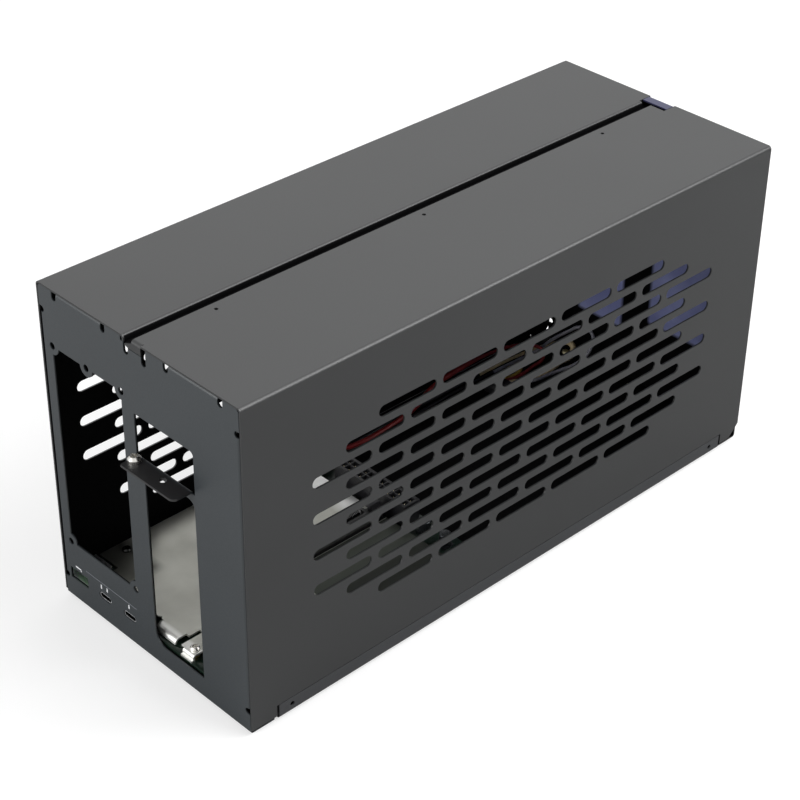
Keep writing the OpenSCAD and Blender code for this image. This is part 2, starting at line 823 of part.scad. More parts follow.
// Outline of the shield's flat part
module shield_2d() {
    half = panel_half - shield_edge;
    fold_y = shield_front + shield_fold_r;
    corner_y = shield_front + shield_corner_r;
    socket_half = socket_w / 2 + shield_slot_gap;
    difference() {
        union() {
            translate([-half, shield_step_y]) square([2 * half, shield_rear - shield_step_y]);
            translate([shield_corner_x, fold_y])
                square([vent_x - shield_corner_x, shield_step_y - fold_y + over]);
            translate([vent_x, toe_y + toe_fold_r])
                square([shield_flange_end - vent_x, shield_step_y - toe_y - toe_fold_r + over]);
            translate([shield_corner_x, corner_y]) circle(shield_corner_r - shield_fold_r);
        }
        translate([-half - over, 0])
            square([usb_a_x + usb_a_w / 2 + half + over + 2 * port_gap, shield_port_l]);
        translate([shield_corner_x - shield_corner_r, shield_step_y]) rotate(45)
            square(shield_notch, center = true);
        translate([vent_x, 0]) square([vent_w, shield_front + vent_l]);
        translate([vent_x + vent_w - vent_tail_w, 0])
            square([vent_tail_w, shield_front + vent_l + vent_tail_l]);
        translate([card_x - socket_half, socket_y - shield_slot_gap])
            square([2 * socket_half, shield_rear]);
        at_dock_screws() circle(d = board_screw_d + 2 * board_screw_gap);
    }
}

// Section of the shield's screwed end, which folds down to the board and ends in a toe
module toe_2d() {
    drop = shield_z - board_z;
    translate([toe_y + toe_fold_r, -toe_fold_r]) mirror([1, 0]) fold_2d(toe_fold_r, shield_t);
    translate([toe_y, -drop]) square([shield_t, drop - toe_fold_r]);
    translate([toe_y - toe_l, -drop]) square([toe_l + shield_t, shield_t]);
}

module dock_shield() {
    corner_y = shield_front + shield_corner_r;
    toe_x = vent_x + vent_w + toe_side;
    color("#a3a39c") place()
        translate([0, 0, shield_z]) {
            translate([0, 0, -shield_t]) linear_extrude(shield_t) shield_2d();
            upright_yz(shield_corner_x, vent_x - shield_corner_x)
                translate([shield_front + shield_fold_r, -shield_fold_r]) mirror([1, 0])
                    fold_2d(shield_fold_r, shield_t);
            upright_yz(toe_x, shield_flange_end - toe_x) toe_2d();
            translate([shield_corner_x, corner_y, 0])
                rotate([0, 0, 180])
                    rotate_extrude(angle = 90)
                        translate([shield_corner_r - shield_fold_r, -shield_fold_r])
                            fold_2d(shield_fold_r, shield_t);
        }
}

// Places of the contact pairs along the socket, from its front end
function pair_y(i) = socket_end + (i + 0.5) * pair_pitch + (i < short_pairs ? 0 : key_w);
all_pairs = short_pairs + long_pairs;

// Slot of the socket seen from above, with one cavity at each side for every pair
module socket_slot_2d() {
    translate([-card_slot_w / 2, socket_end])
        square([card_slot_w, short_pairs * pair_pitch]);
    translate([-card_slot_w / 2, socket_end + short_pairs * pair_pitch + key_w])
        square([card_slot_w, long_pairs * pair_pitch]);
    for (i = [0 : all_pairs - 1])
        translate([-card_slot_w / 2 - cavity_d, pair_y(i) - cavity_w / 2])
            square([card_slot_w + 2 * cavity_d, cavity_w]);
}

// Places a piece on the board at the front end of the socket
module at_socket() {
    place() translate([card_x, socket_y, board_z]) children();
}

module card_socket() {
    well_half = latch_w / 2 + latch_gap;
    mouth_half = card_slot_w / 2 + chamfer_d + over;
    color("#18181a") at_socket()
        difference() {
            union() {
                translate([-socket_w / 2, 0, 0]) cube([socket_w, socket_l, socket_h]);
                translate([-socket_w / 2, socket_l, 0]) cube([socket_w, latch_well, latch_ear_h]);
            }
            translate([0, 0, socket_h - card_slot_h]) linear_extrude(card_slot_h + over) socket_slot_2d();
            upright_xz(socket_end, socket_l - 2 * socket_end)
                polygon([[-mouth_half, socket_h + over], [mouth_half, socket_h + over],
                    [0, socket_h + over - mouth_half]]);
            for (side = [-1, 1])
                translate([side * (card_slot_w / 2 + cavity_d - blade_t / 2 - blade_gap) - blade_t,
                    socket_end, socket_h - card_slot_h - bar_h])
                    cube([2 * blade_t, all_pairs * pair_pitch + key_w, bar_h + blade_gap]);
            translate([-well_half, socket_l + latch_wall, latch_z - latch_body_r - latch_gap])
                cube([2 * well_half, latch_well, socket_h]);
            translate([-socket_w, socket_l + latch_y, latch_z]) rotate([0, 90, 0])
                cylinder(d = latch_pin_d + 2 * latch_pin_gap, h = 2 * socket_w);
        }
}

// One comb of contact blades at each side of the card slot
module socket_contacts() {
    color("#c9a24a") at_socket()
        for (side = [-1, 1])
            translate([side * (card_slot_w / 2 + cavity_d - blade_t / 2 - blade_gap), 0,
                socket_h - card_slot_h - bar_h]) {
                translate([-blade_t / 2, socket_end + blade_gap, 0])
                    cube([blade_t, all_pairs * pair_pitch + key_w - 2 * blade_gap, bar_h / 2]);
                for (i = [0 : all_pairs - 1])
                    translate([-blade_t / 2, pair_y(i) - blade_w / 2, bar_h / 4])
                        cube([blade_t, blade_w, blade_h]);
            }
}

// Lever that holds the card's rear hook; it swings on two stub pins
module card_latch() {
    lean = latch_arm_t / 2;
    color("#2a2a2d") at_socket()
        translate([0, socket_l + latch_y, latch_z]) {
            upright_yz(-latch_w / 2, latch_w) {
                circle(latch_body_r);
                polygon([[-lean, 0], [latch_body_r, 0], [lean + latch_thumb, latch_top - latch_z - latch_thumb_t],
                    [lean + latch_thumb, latch_top - latch_z], [-lean - latch_hook, latch_top - latch_z],
                    [-lean - latch_hook, latch_top - latch_z - latch_thumb_t / 2],
                    [-lean, latch_top - latch_z - latch_thumb_t]]);
            }
            translate([-latch_w / 2 - latch_pin_l - latch_gap, 0, 0]) rotate([0, 90, 0])
                cylinder(d = latch_pin_d, h = latch_w + 2 * latch_pin_l + 2 * latch_gap);
        }
}

module usb_a_shell() {
    color("#b4b6b8") place()
        translate([usb_a_x - usb_a_w / 2, usb_a_recess, board_z])
            difference() {
                cube([usb_a_w, usb_a_l, usb_a_h]);
                translate([usb_a_wall, -over, usb_a_wall])
                    cube([usb_a_w - 2 * usb_a_wall, usb_a_l - usb_a_wall + over, usb_a_h - 2 * usb_a_wall]);
            }
}

module usb_a_tongue() {
    color("#3f9a45") place()
        translate([usb_a_x - usb_a_tongue_w / 2, usb_a_recess + usb_a_l - usb_a_wall - usb_a_tongue_l,
            board_z + usb_a_tongue_z])
            cube([usb_a_tongue_w, usb_a_tongue_l, usb_a_tongue_h]);
}

module usb_c_shells() {
    color("#b4b6b8") place()
        for (x = usb_c_x)
            translate([x, port_recess, board_z]) {
                upright_xz(0, usb_c_l)
                    translate([-usb_c_w / 2, usb_c_lift + usb_c_h / 2])
                        difference() {
                            slot_2d(usb_c_w, usb_c_h);
                            translate([usb_c_wall, 0]) slot_2d(usb_c_w - 2 * usb_c_wall, usb_c_h - 2 * usb_c_wall);
                        }
                upright_xz(usb_c_l - usb_c_wall, usb_c_wall)
                    translate([-usb_c_w / 2, usb_c_lift + usb_c_h / 2]) slot_2d(usb_c_w, usb_c_h);
                for (side = [-1, 1])
                    for (y = [usb_c_leg, usb_c_l - 2 * usb_c_leg])
                        translate([side * usb_c_w / 4 - usb_c_leg / 2, y, 0])
                            cube([usb_c_leg, usb_c_leg, usb_c_lift + usb_c_wall / 2]);
            }
}

module usb_c_tongues() {
    color("#202022") place()
        for (x = usb_c_x)
            translate([x - usb_c_tongue_w / 2, port_recess + usb_c_l - usb_c_wall - usb_c_tongue_l,
                board_z + usb_c_lift + (usb_c_h - usb_c_tongue_h) / 2])
                cube([usb_c_tongue_w, usb_c_tongue_l, usb_c_tongue_h]);
}

// Places the header's own axes at its lower front left corner
module at_header() {
    place() translate([header_x - header_w / 2, header_y, board_z]) children();
}

// Centres of the header's cells
module at_cells() {
    for (i = [0 : header_columns - 1])
        for (row = [0, 1])
            translate([header_wall + (i + 0.5) * header_pitch, header_wall + (row + 0.5) * header_pitch])
                children();
}

module power_header() {
    color("#1d1d1f") at_header()
        difference() {
            union() {
                cube([header_w, header_depth, header_h]);
                translate([(header_w - header_catch_w) / 2, header_depth, header_h - header_catch_h])
                    cube([header_catch_w, header_catch_t, header_catch_h / 2]);
            }
            translate([0, 0, header_floor])
                linear_extrude(header_h)
                    at_cells() square(header_cell, center = true);
        }
}

module header_pins() {
    color("#c8b070") at_header()
        at_cells() translate([-header_pin_w / 2, -header_pin_w / 2, header_floor])
            cube([header_pin_w, header_pin_w, header_pin_h - header_floor]);
}

// Can capacitors on plastic feet, with the rolled neck above the foot
module capacitors() {
    color("#bfc3c6") place()
        for (x = cap_x)
            translate([x, cap_y, board_z]) {
                translate([-cap_d / 2, -cap_d / 2, 0]) cube([cap_d, cap_d, cap_base_h]);
                translate([0, 0, cap_base_h]) cylinder(d = cap_d - 2 * cap_neck, h = cap_neck_h);
                translate([0, 0, cap_base_h + cap_neck_h])
                    cylinder(d = cap_d, h = cap_h - cap_base_h - cap_neck_h - cap_neck);
                translate([0, 0, cap_h - cap_neck]) cylinder(d1 = cap_d, d2 = cap_d - 2 * cap_neck, h = cap_neck);
            }
}

module power_coils() {
    color("#55575a") place()
        for (x = coil_x)
            translate([x - coil_w / 2, coil_y - coil_w / 2, board_z])
                linear_extrude(coil_h)
                    window_2d(coil_w, coil_w, [coil_corner, coil_corner, coil_corner, coil_corner]);
}

module controller_chip() {
    color("#161618") place()
        translate([chip_at[0] - chip_w / 2, chip_at[1] - chip_w / 2, board_z]) cube([chip_w, chip_w, chip_t]);
}

module thermal_pad() {
    pad_z = board_z + chip_t;
    color("#8f9aa8") place()
        translate([chip_at[0] - chip_w / 2, chip_at[1] - chip_w / 2, pad_z])
            cube([chip_w, chip_w, shield_z - shield_t - pad_z]);
}

// Hexagonal posts between the tray and the board; the front one stands on the lap
module standoffs() {
    color("#c4a860") place()
        difference() {
            union() {
                translate([card_x + front_screw_right, front_screw_y, floor_z + frame_t])
                    cylinder(d = standoff_d, h = board_z - board_t - floor_z - frame_t, $fn = 6);
                for (x = [-side_screw_x, side_screw_x])
                    for (y = side_screw_y)
                        translate([x, y, floor_z])
                            cylinder(d = standoff_d, h = board_z - board_t - floor_z, $fn = 6);
            }
            at_dock_screws() translate([0, 0, floor_z + 2 * frame_t])
                cylinder(d = board_screw_d + 2 * board_screw_gap, h = board_z);
        }
}

module shield_spacers() {
    color("#c4a860") place()
        at_dock_screws()
            translate([0, 0, board_z])
                difference() {
                    cylinder(d = spacer_d, h = shield_z - shield_t - board_z);
                    translate([0, 0, -over])
                        cylinder(d = board_screw_d + 2 * board_screw_gap, h = shield_z);
                }
}

module dock_screws() {
    color("#c2c2bd") place()
        at_dock_screws() translate([0, 0, shield_z])
            pan_screw(board_head_d, board_head_h, board_screw_d, board_screw_l);
}

// Plug at the board's rear edge, and the loose one, with a latch rib on its top
module lead_plugs() {
    color("#232325") place() {
        translate([lead_plug_x - lead_plug_w / 2, board_l - lead_plug_l, board_z]) {
            cube([lead_plug_w, lead_plug_l, lead_plug_h]);
            translate([-lead_plug_rib, 0, 0]) cube([lead_plug_rib, lead_plug_l / 2, lead_plug_h]);
            translate([lead_plug_w, 0, 0]) cube([lead_plug_rib, lead_plug_l / 2, lead_plug_h]);
        }
        translate([loose_plug_at[0], loose_plug_at[1] - loose_plug_l, floor_z]) {
            translate([-lead_plug_w / 2, 0, 0]) cube([lead_plug_w, loose_plug_l, loose_plug_h]);
            translate([-loose_latch_w / 2, (loose_plug_l - loose_latch_l) / 2, loose_plug_h])
                cube([loose_latch_w, loose_latch_l, lead_plug_rib]);
        }
    }
}

// Direction of a route at its point i, and the ring of points square to it
function heading(route, i) = route[min(i + 1, len(route) - 1)] - route[max(i - 1, 0)];
function lead_ring(route, i) =
    let (ahead = heading(route, i) / norm(heading(route, i)), level = cross([0, 0, 1], ahead),
        side = level / norm(level), rise = cross(ahead, side))
    [for (k = [0 : lead_sides - 1])
        let (a = 360 * k / lead_sides) route[i] + lead_d / 2 * (cos(a) * side + sin(a) * rise)];

// Insulated lead: a tube swept along its route
module lead(route) {
    n = lead_sides;
    last = (len(route) - 1) * n;
    polyhedron(
        points = [for (i = [0 : len(route) - 1]) each lead_ring(route, i)],
        faces = concat(
            [for (k = [1 : n - 2]) [0, k, k + 1]],
            [for (k = [1 : n - 2]) [last, last + k + 1, last + k]],
            [for (i = [0 : n : last - n]) for (k = [0 : n - 1])
                let (m = (k + 1) % n) each [[i + k, i + n + k, i + n + m], [i + k, i + n + m, i + m]]]));
}

module lead_red() {
    color("#a83a34") place() lead(route_red);
}

module lead_yellow() {
    color("#b89a4a") place() lead(route_yellow);
}

module lead_tan() {
    color("#c0a888") place() lead(route_tan);
}

module lead_grey() {
    color("#8c8c94") place() lead(route_grey);
}

io_panel();
back_panel();
base_tray();
left_cover();
right_cover();
centre_rail();
floor_rivets();
feet();
bracket_screw();
dock_board();
dock_shield();
card_socket();
socket_contacts();
card_latch();
usb_a_shell();
usb_a_tongue();
usb_c_shells();
usb_c_tongues();
power_header();
header_pins();
capacitors();
power_coils();
controller_chip();
thermal_pad();
standoffs();
shield_spacers();
dock_screws();
lead_plugs();
lead_red();
lead_yellow();
lead_tan();
lead_grey();
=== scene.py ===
import math
import bmesh
import bpy
from mathutils import Matrix, Vector


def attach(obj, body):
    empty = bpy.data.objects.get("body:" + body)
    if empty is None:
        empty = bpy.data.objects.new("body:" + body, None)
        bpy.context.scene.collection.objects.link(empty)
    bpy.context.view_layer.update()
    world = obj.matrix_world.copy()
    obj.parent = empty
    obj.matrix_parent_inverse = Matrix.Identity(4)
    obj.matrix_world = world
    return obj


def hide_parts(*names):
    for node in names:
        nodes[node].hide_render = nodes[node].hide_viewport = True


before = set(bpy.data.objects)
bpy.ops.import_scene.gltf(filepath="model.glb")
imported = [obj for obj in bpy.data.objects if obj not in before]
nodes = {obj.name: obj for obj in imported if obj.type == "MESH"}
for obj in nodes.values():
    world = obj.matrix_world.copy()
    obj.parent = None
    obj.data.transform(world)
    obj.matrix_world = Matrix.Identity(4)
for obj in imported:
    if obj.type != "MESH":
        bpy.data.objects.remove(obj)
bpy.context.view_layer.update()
mm = 0.001

# The case's own axes start at the lower edge of the face, as in the part's source
caseAxes = {"ledge": 10.5, "length": 355, "foot": 1.5}
caseShift = Vector((0, (caseAxes["ledge"] - caseAxes["length"]) / 2, caseAxes["foot"]))


def atCase(x, y, z):
    return (Vector((x, y, z)) + caseShift) * mm


def hexColor(code):
    # sRGB hex to the linear values that the shaders read
    channels = [int(code[i:i + 2], 16) / 255 for i in (1, 3, 5)]
    return [c / 12.92 if c <= 0.04045 else ((c + 0.055) / 1.055) ** 2.4 for c in channels] + [1]


def addNode(tree, kind, inputs=None, **settings):
    node = tree.nodes.new(kind)
    for name, value in settings.items():
        setattr(node, name, value)
    for key, value in (inputs or {}).items():
        if isinstance(value, bpy.types.NodeSocket):
            tree.links.new(value, node.inputs[key])
        else:
            node.inputs[key].default_value = value
    return node


def addObject(name, data):
    made = bpy.data.objects.new(name, data)
    bpy.context.scene.collection.objects.link(made)
    return made


def startMaterial(name, color, roughness, **sockets):
    material = bpy.data.materials.new(name)
    material.use_nodes = True
    tree = material.node_tree
    shader = tree.nodes["Principled BSDF"]
    shader.inputs["Base Color"].default_value = hexColor(color)
    shader.inputs["Roughness"].default_value = roughness
    for key, value in sockets.items():
        shader.inputs[key.replace("_", " ")].default_value = value
    place = addNode(tree, "ShaderNodeTexCoord").outputs["Object"]
    return material, tree, shader, place


def grain(tree, place, size, detail, stretch=(1, 1, 1)):
    # Noise whose grains are about size millimetres wide
    turned = addNode(tree, "ShaderNodeMapping", {"Vector": place, "Scale": stretch})
    return addNode(tree, "ShaderNodeTexNoise", {"Vector": turned.outputs[0], "Scale": 1 / (size * mm),
                                                "Detail": detail}).outputs["Fac"]


def spread(tree, value, low, high, start=0.3, end=0.7):
    # Stretches the middle of a noise to the range low to high
    return addNode(tree, "ShaderNodeMapRange", {"Value": value, "From Min": start, "From Max": end,
                                                "To Min": low, "To Max": high}).outputs[0]


def blendColors(tree, share, first, second):
    node = addNode(tree, "ShaderNodeMix", data_type="RGBA")
    for key, value in ((0, share), (6, first), (7, second)):
        if isinstance(value, bpy.types.NodeSocket):
            tree.links.new(value, node.inputs[key])
        else:
            node.inputs[key].default_value = value
    return node.outputs[2]


def addBump(tree, shader, height, depth):
    # Bump whose hills are depth millimetres high
    bump = addNode(tree, "ShaderNodeBump", {"Height": height, "Strength": 1.0, "Distance": depth * mm})
    tree.links.new(bump.outputs[0], shader.inputs["Normal"])


def insideRange(tree, value, low, high, soft):
    # 1 between low and high, with soft ends, all in metres
    rise = addNode(tree, "ShaderNodeMapRange", {"Value": value, "From Min": low - soft,
                                                "From Max": low + soft})
    fall = addNode(tree, "ShaderNodeMapRange", {"Value": value, "From Min": high + soft,
                                                "From Max": high - soft})
    return addNode(tree, "ShaderNodeMath", {0: rise.outputs[0], 1: fall.outputs[0]},
                   operation="MULTIPLY").outputs[0]


def boxMask(tree, place, low, high, soft=0.2):
    # 1 inside a box given by two corners in the case's own axes
    axes = addNode(tree, "ShaderNodeSeparateXYZ", {"Vector": place}).outputs
    first, last = atCase(*low), atCase(*high)
    mask = None
    for i, axis in enumerate("XYZ"):
        share = insideRange(tree, axes[axis], first[i], last[i], soft * mm)
        mask = share if mask is None else addNode(tree, "ShaderNodeMath", {0: mask, 1: share},
                                                  operation="MULTIPLY").outputs[0]
    return mask


# Powder coat: the black of the covers, how far its clouds darken, how coarse clouds, flecks and orange
# peel are in millimetres, and the corners between which the case's inside is painted near black and
# dull, painted shade
coat = {"black": "#222324", "shift": 0.12, "clouds": 70, "flecks": 0.5, "peel": 1.6, "peelDepth": 0.006,
        "inside": "#131314", "insideRoughness": 0.85,
        "from": (-71.2, 0.6, 0.6), "to": (71.2, 354.4, 180.3)}


def powderCoat(name, color, roughness=0.4, gloss=0.6):
    # Black polyester powder coat, sprayed and baked: it looks grey where its satin gloss catches the
    # room, and a fine orange peel breaks up the highlight; inside the case the coat is painted near
    # black, dull and metallic so that it hardly reflects: painted shade
    material, tree, shader, place = startMaterial(name, color, roughness, Specular_IOR_Level=gloss)
    clouds = spread(tree, grain(tree, place, coat["clouds"], detail=2), low=0, high=1)
    dark = [c * (1 - coat["shift"]) for c in hexColor(color)[:3]] + [1]
    tint = blendColors(tree, clouds, dark, hexColor(color))
    # Painted shade: inside the case the colour turns near black, and the coat dull and metallic
    inner = boxMask(tree, place, coat["from"], coat["to"])
    tree.links.new(blendColors(tree, inner, tint, hexColor(coat["inside"])), shader.inputs["Base Color"])
    flecks = spread(tree, grain(tree, place, coat["flecks"], detail=2), low=roughness - 0.04,
                    high=roughness + 0.05)
    dull = addNode(tree, "ShaderNodeMapRange", {"Value": inner, "To Min": flecks,
                                                "To Max": coat["insideRoughness"]}).outputs[0]
    tree.links.new(dull, shader.inputs["Roughness"])
    tree.links.new(inner, shader.inputs["Metallic"])
    addBump(tree, shader, grain(tree, place, coat["peel"], detail=2), coat["peelDepth"])
    return material, tree, shader, place


# Face: a lighter, bluer copy of the coat, painted light for how the face is lit; the ledge's painted
# shade fades in between two distances before the face
face = {"color": "#242a2e", "roughness": 0.42, "gloss": 0.76, "ledgeShade": "#0c0b0d", "fade": (0.4, 1.2)}


def faceCoat():
    # The same coat on the face, in a lighter and bluer copy: painted light; the ledge is painted near
    # black: painted shade
    material, tree, shader, place = powderCoat("satinPowderCoatFace", face["color"], face["roughness"],
                                               face["gloss"])
    axes = addNode(tree, "ShaderNodeSeparateXYZ", {"Vector": place}).outputs
    start, full = (atCase(0, -before, 0).y for before in face["fade"])
    # Painted shade: the ledge before the face is coloured near black
    ledge = addNode(tree, "ShaderNodeMapRange", {"Value": axes["Y"], "From Min": start,
                                                 "From Max": full}).outputs[0]
    painted = shader.inputs["Base Color"].links[0].from_socket
    tree.links.new(blendColors(tree, ledge, painted, hexColor(face["ledgeShade"])),
                   shader.inputs["Base Color"])
    return material


# Blue on the back panel: each field is given by its left, right and lower edge; the flap's darker blue
# is painted shade
bluePanel = {"film": "#b4badf", "deepFilm": "#989ecb", "fields": [(-48, -16, 33), (4, 62, 45)],
             "top": 170, "soft": 1.2, "innerFace": 354.1, "shadedFlap": "#25274a", "flapBase": 180.3,
             "crisp": 0.2, "far": 1000}


def bluedPanel():
    # The back panel is coated as the case is; on the inside two fields are cloudy violet blue, and the
    # small flap under the seam is a much darker blue: painted shade
    material, tree, shader, place = powderCoat("maskedChromatePanel", coat["black"])
    axes = addNode(tree, "ShaderNodeSeparateXYZ", {"Vector": place}).outputs
    soft, crisp, far = (bluePanel[key] * mm for key in ("soft", "crisp", "far"))
    top, flapBase = (atCase(0, 0, bluePanel[key]).z for key in ("top", "flapBase"))
    fields = []
    for left, right, lower in bluePanel["fields"]:
        across = insideRange(tree, axes["X"], left * mm, right * mm, soft)
        above = insideRange(tree, axes["Z"], atCase(0, 0, lower).z, top, soft)
        fields.append(addNode(tree, "ShaderNodeMath", {0: across, 1: above},
                              operation="MULTIPLY").outputs[0])
    both = addNode(tree, "ShaderNodeMath", {0: fields[0], 1: fields[1]}, operation="MAXIMUM").outputs[0]
    inner = insideRange(tree, axes["Y"], -far, atCase(0, bluePanel["innerFace"], 0).y, crisp)
    masked = addNode(tree, "ShaderNodeMath", {0: both, 1: inner}, operation="MULTIPLY").outputs[0]
    # Painted shade: the flap under the seam gets a much darker blue
    shadedFlap = insideRange(tree, axes["Z"], flapBase, far, crisp)
    clouds = spread(tree, grain(tree, place, size=30, detail=3), low=0, high=1)
    film = blendColors(tree, clouds, hexColor(bluePanel["deepFilm"]), hexColor(bluePanel["film"]))
    filmed = blendColors(tree, masked, shader.inputs["Base Color"].links[0].from_socket, film)
    tree.links.new(blendColors(tree, shadedFlap, filmed, hexColor(bluePanel["shadedFlap"])),
                   shader.inputs["Base Color"])
    return material


def mouldedRubber():
    # Nitrile rubber, compression moulded: dull, faintly mottled and soft at the edges
    material, tree, shader, place = startMaterial("nitrileRubber", "#171717", 0.72)
    tree.links.new(spread(tree, grain(tree, place, size=0.6, detail=4), low=0.64, high=0.82),
                   shader.inputs["Roughness"])
    addBump(tree, shader, grain(tree, place, size=0.4, detail=3), depth=0.02)
    return material


def nickelPlate(name, color, roughness=0.24):
    # Bright nickel over steel, barrel plated: small scuffs spread the mirror
    material, tree, shader, place = startMaterial(name, color, roughness, Metallic=1.0)
    scuffs = spread(tree, grain(tree, place, size=0.35, detail=3), low=roughness - 0.06,
                    high=roughness + 0.1)
    tree.links.new(scuffs, shader.inputs["Roughness"])
    addBump(tree, shader, grain(tree, place, size=0.8, detail=2), depth=0.004)
    return material


# Shells: the bright rim, and the painted shade of the depth between two corners
rim = {"bright": "#f2f4f6", "shellShade": "#26282a", "roughness": 0.4,
       "from": (-70, 0.5, 0), "to": (70, 40, 30)}


def rimmedShell():
    # Drawn nickel shell: bright nickel at the rim; the depth is painted dark: painted shade
    material, tree, shader, place = startMaterial("rimmedShell", rim["bright"], rim["roughness"],
                                                  Metallic=1.0)
    # Painted shade: the shell is coloured dark behind its rim
    shellShade = boxMask(tree, place, rim["from"], rim["to"], soft=0.1)
    tree.links.new(blendColors(tree, shellShade, hexColor(rim["bright"]), hexColor(rim["shellShade"])),
                   shader.inputs["Base Color"])
    tree.links.new(spread(tree, grain(tree, place, size=0.35, detail=3), low=0.34, high=0.5),
                   shader.inputs["Roughness"])
    return material


# Shield: each patch is a colour between two corners, with the width of its soft edge; some paint
# highlights and shade onto the plate
shield = {"plate": "#cacac2", "dullPlate": "#b4b4ac", "roughness": 0.37, "rolling": 0.03,
          "patches": [("#f2f2ee", (-8, 0, 12), (40, 9, 19), 1),  # painted highlight on the front fold
                      ("#454640", (-80, 6, 12), (-37, 34, 19), 3),  # painted shade at the front left
                      ("#8c8d86", (-80, 4, 12), (-34, 15, 19), 5),  # soft edge of that painted shade
                      ("#464a44", (9.5, 76, 12), (80, 150, 19), 0.2),  # dark grey green over the rear right part
                      ("#222420", (34, 70, 12), (80, 156, 19), 4),  # darker towards its right end
                      ("#ffffff", (-44, 128, 12), (-30, 154, 19), 4),  # two painted highlights
                      ("#ffffff", (-19, 132, 12), (-7, 154, 19), 4)]}


def rolledTinplate():
    # Cold rolled tinplate: faint rolling lines and a soft grey mirror
    material, tree, shader, place = startMaterial("rolledTinplate", shield["plate"], shield["roughness"],
                                                  Metallic=0.8)
    lines = grain(tree, place, size=0.6, detail=2, stretch=(1, 0.06, 1))
    tree.links.new(spread(tree, lines, low=shield["roughness"] - shield["rolling"],
                          high=shield["roughness"] + shield["rolling"]), shader.inputs["Roughness"])
    clouds = spread(tree, grain(tree, place, size=25, detail=3), low=0, high=1)
    plate = blendColors(tree, clouds, hexColor(shield["dullPlate"]), hexColor(shield["plate"]))
    # The patches paint highlights and shade onto the plate's colour
    for color, low, high, soft in shield["patches"]:
        plate = blendColors(tree, boxMask(tree, place, low, high, soft), plate, hexColor(color))
    tree.links.new(plate, shader.inputs["Base Color"])
    addBump(tree, shader, lines, depth=0.0008)
    return material


# Screws: the heads that lie between two corners are painted dark: painted shade
screws = {"nickel": "#d6d4cf", "shadeColor": "#2c2d2c", "from": (-80, 4, 12), "to": (-37, 34, 24)}


def lacqueredNickel():
    # The shield's screws: bright nickel, the front left one painted dark: painted shade
    material = nickelPlate("lacqueredNickel", screws["nickel"])
    tree = material.node_tree
    place = addNode(tree, "ShaderNodeTexCoord").outputs["Object"]
    # Painted shade: the front left screw is coloured dark
    screwShade = boxMask(tree, place, screws["from"], screws["to"], soft=1)
    tree.links.new(blendColors(tree, screwShade, hexColor(screws["nickel"]), hexColor(screws["shadeColor"])),
                   tree.nodes["Principled BSDF"].inputs["Base Color"])
    return material


def solderMask():
    # Black green solder mask over copper, screen printed: glossy, with the copper's weave just felt
    material, tree, shader, place = startMaterial("solderMask", "#16231c", 0.28)
    weave = addNode(tree, "ShaderNodeTexBrick", {
        "Vector": place, "Scale": 1 / (4 * mm), "Mortar Size": 0.03, "Color1": hexColor("#16231c"),
        "Color2": hexColor("#1a2a21"), "Mortar": hexColor("#0f1914")})
    tree.links.new(weave.outputs["Color"], shader.inputs["Base Color"])
    addBump(tree, shader, grain(tree, place, size=0.9, detail=2), depth=0.01)
    return material


def mouldedPlastic(name, color, roughness, size=0.5):
    # Glass filled plastic, injection moulded: an even spark texture from the mould
    material, tree, shader, place = startMaterial(name, color, roughness)
    flecks = spread(tree, grain(tree, place, size=size, detail=3), low=roughness - 0.06,
                    high=roughness + 0.08)
    tree.links.new(flecks, shader.inputs["Roughness"])
    addBump(tree, shader, grain(tree, place, size=size, detail=2), depth=0.008)
    return material


def goldFlash():
    # Hard gold flashed over nickel: warm and bright, slightly uneven
    material, tree, shader, place = startMaterial("goldFlash", "#d8b45c", 0.22, Metallic=1.0)
    clouds = spread(tree, grain(tree, place, size=0.7, detail=2), low=0, high=1)
    tree.links.new(blendColors(tree, clouds, hexColor("#c9a24c"), hexColor("#e2c070")),
                   shader.inputs["Base Color"])
    return material


def sleevedCan():
    # Drawn aluminium can in a shrunk dark sleeve: a dull dark metal with faint drawing lines up the side
    material, tree, shader, place = startMaterial("sleevedCan", "#34373a", 0.34, Metallic=0.7)
    lines = grain(tree, place, size=0.3, detail=2, stretch=(1, 1, 0.08))
    tree.links.new(spread(tree, lines, low=0.22, high=0.4), shader.inputs["Roughness"])
    return material


def pressedFerrite():
    # Pressed and fired iron powder: flat grey with coarse specks
    material, tree, shader, place = startMaterial("pressedFerrite", "#4a4c4f", 0.62)
    specks = spread(tree, grain(tree, place, size=0.35, detail=4), low=0, high=1, start=0.4, end=0.6)
    tree.links.new(blendColors(tree, specks, hexColor("#3c3e41"), hexColor("#585b5e")),
                   shader.inputs["Base Color"])
    addBump(tree, shader, grain(tree, place, size=0.35, detail=3), depth=0.02)
    return material


def siliconePad():
    # Gap pad of filled silicone, calendered: soft blue grey with a print of its liner
    material, tree, shader, place = startMaterial("siliconePad", "#8f9aa8", 0.6)
    addBump(tree, shader, grain(tree, place, size=0.5, detail=2), depth=0.03)
    return material


def turnedBrass():
    # Free cutting brass, turned: fine rings round the post
    material, tree, shader, place = startMaterial("turnedBrass", "#c9ad68", 0.3, Metallic=1.0)
    rings = grain(tree, place, size=0.25, detail=2, stretch=(0.05, 0.05, 1))
    tree.links.new(spread(tree, rings, low=0.2, high=0.42), shader.inputs["Roughness"])
    addBump(tree, shader, rings, depth=0.004)
    return material


# Rivets: black heads, and pale tan tails between two corners
zinc = {"black": "#26282a", "paleTan": "#ded4b0", "from": (-80, 90, 1.2), "to": (80, 370, 8)}


